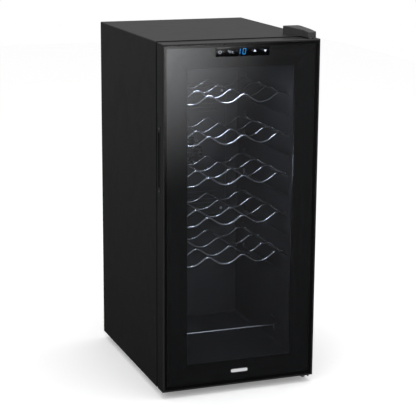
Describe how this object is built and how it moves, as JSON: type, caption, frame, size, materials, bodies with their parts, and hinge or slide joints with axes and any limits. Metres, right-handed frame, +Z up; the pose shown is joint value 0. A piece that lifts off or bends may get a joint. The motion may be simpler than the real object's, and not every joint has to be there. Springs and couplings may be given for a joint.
{
  "type": "wine cooler",
  "caption": "Free-standing thermoelectric wine cooler with a side-hung glazed door, wire shelves, touch display and rear cooling unit.",
  "frame": {"origin": "centre of the footprint, on the floor", "axes": "+X to the viewer's right as one faces the door, +Y from the door to the back, +Z up"},
  "size_m": [0.345, 0.45, 0.77],
  "materials": {
    "black_steel": "satin",
    "grey_steel": "satin",
    "zinc_steel": "satin",
    "liner_plastic": "satin",
    "black_plastic": "satin",
    "foam": "matte",
    "nylon": "satin",
    "foot_plastic": "matte",
    "front_glass": "gloss",
    "clear_glass": "gloss",
    "spacer_aluminium": "satin",
    "gasket_rubber": "matte",
    "magnet_strip": "matte",
    "chrome_wire": "polished",
    "circuit_board": "satin",
    "display": "gloss",
    "badge_metal": "satin",
    "lens_plastic": "satin",
    "heat_sink_aluminium": "satin",
    "ceramic_white": "satin",
    "fan_plastic": "satin",
    "tray_plastic": "matte",
    "lead_sleeve": "matte"
  },
  "bodies": {
    "cabinet": {"outer_shell": "black_steel", "front_strike_frame": "black_steel", "base_pan": "grey_steel", "back_panel": "grey_steel", "inner_liner": "liner_plastic", "insulation_foam": "foam", "foot_inserts": "nylon", "rear_feet": "foot_plastic", "top_hinge_plate": "zinc_steel", "top_hinge_pin": "zinc_steel", "hinge_screws": "zinc_steel", "top_hinge_cover": "black_plastic", "bottom_hinge_bracket": "zinc_steel", "bottom_hinge_pin": "zinc_steel", "lamp_housing": "liner_plastic", "lamp_board": "circuit_board", "lamp_lens": "lens_plastic", "temperature_sensor": "liner_plastic", "lower_rail": "chrome_wire", "cold_side_cover": "liner_plastic", "cold_fan_frame": "fan_plastic", "cold_heat_sink": "heat_sink_aluminium", "cold_block": "heat_sink_aluminium", "peltier_module": "ceramic_white", "hot_heat_sink": "heat_sink_aluminium", "hot_fan_frame": "fan_plastic", "fan_guard": "chrome_wire", "rear_chamber_tray": "tray_plastic", "power_board": "circuit_board", "power_inlet": "tray_plastic", "wiring_harness": "lead_sleeve", "wall_spacers": "foot_plastic", "panel_screws": "zinc_steel"},
    "door": {"door_frame": "black_plastic", "door_liner": "liner_plastic", "door_foam": "foam", "front_glass": "front_glass", "glazing_spacer": "spacer_aluminium", "inner_glass": "clear_glass", "door_gasket": "gasket_rubber", "gasket_magnets": "magnet_strip", "upper_hinge_bush": "nylon", "lower_hinge_bush": "nylon", "handle_cup": "black_plastic", "handle_screws": "zinc_steel", "control_board": "circuit_board", "display_module": "display", "touch_pads": "magnet_strip", "trim_badge": "badge_metal"},
    "cold_fan": {"cold_fan_rotor": "fan_plastic"},
    "hot_fan": {"hot_fan_rotor": "fan_plastic"},
    "left_foot_pad": {"left_foot_pad": "foot_plastic"},
    "left_foot_stud": {"left_foot_stud": "zinc_steel"},
    "right_foot_pad": {"right_foot_pad": "foot_plastic"},
    "right_foot_stud": {"right_foot_stud": "zinc_steel"},
    "shelf_1": {"shelf_1": "chrome_wire"},
    "shelf_2": {"shelf_2": "chrome_wire"},
    "shelf_3": {"shelf_3": "chrome_wire"},
    "shelf_4": {"shelf_4": "chrome_wire"},
    "shelf_5": {"shelf_5": "chrome_wire"}
  },
  "joints": [
    {"name": "door_hinge", "type": "hinge", "parent": "cabinet", "child": "door", "pos_m": [0.157, -0.208, 0.015], "axis": [0, 0, 1], "range_deg": [0, 115]},
    {"name": "shelf_1_slide", "type": "slide", "parent": "cabinet", "child": "shelf_1", "axis": [0, -1, 0], "range_m": [0, 0.021]},
    {"name": "shelf_2_slide", "type": "slide", "parent": "cabinet", "child": "shelf_2", "axis": [0, -1, 0], "range_m": [0, 0.021]},
    {"name": "shelf_3_slide", "type": "slide", "parent": "cabinet", "child": "shelf_3", "axis": [0, -1, 0], "range_m": [0, 0.021]},
    {"name": "shelf_4_slide", "type": "slide", "parent": "cabinet", "child": "shelf_4", "axis": [0, -1, 0], "range_m": [0, 0.021]},
    {"name": "shelf_5_slide", "type": "slide", "parent": "cabinet", "child": "shelf_5", "axis": [0, -1, 0], "range_m": [0, 0.021]},
    {"name": "cold_fan_spin", "type": "hinge", "parent": "cabinet", "child": "cold_fan", "pos_m": [0, 0.115, 0.46], "axis": [0, 1, 0], "continuous": true},
    {"name": "hot_fan_spin", "type": "hinge", "parent": "cabinet", "child": "hot_fan", "pos_m": [0, 0.192, 0.46], "axis": [0, 1, 0], "continuous": true},
    {"name": "left_foot_lift", "type": "slide", "parent": "cabinet", "child": "left_foot_pad", "axis": [0, 0, -1], "range_m": [0, 0.005]},
    {"name": "left_foot_screw", "type": "hinge", "parent": "left_foot_pad", "child": "left_foot_stud", "pos_m": [-0.14, -0.142, 0.0085], "axis": [0, 0, -1], "range_deg": [0, 1440]},
    {"name": "right_foot_lift", "type": "slide", "parent": "cabinet", "child": "right_foot_pad", "axis": [0, 0, -1], "range_m": [0, 0.005]},
    {"name": "right_foot_screw", "type": "hinge", "parent": "right_foot_pad", "child": "right_foot_stud", "pos_m": [0.14, -0.142, 0.0085], "axis": [0, 0, -1], "range_deg": [0, 1440]}
  ],
  "couplings": [
    {"joint": "left_foot_screw", "follows": "left_foot_lift", "rad_per_m": 5026.5},
    {"joint": "right_foot_screw", "follows": "right_foot_lift", "rad_per_m": 5026.5}
  ]
}
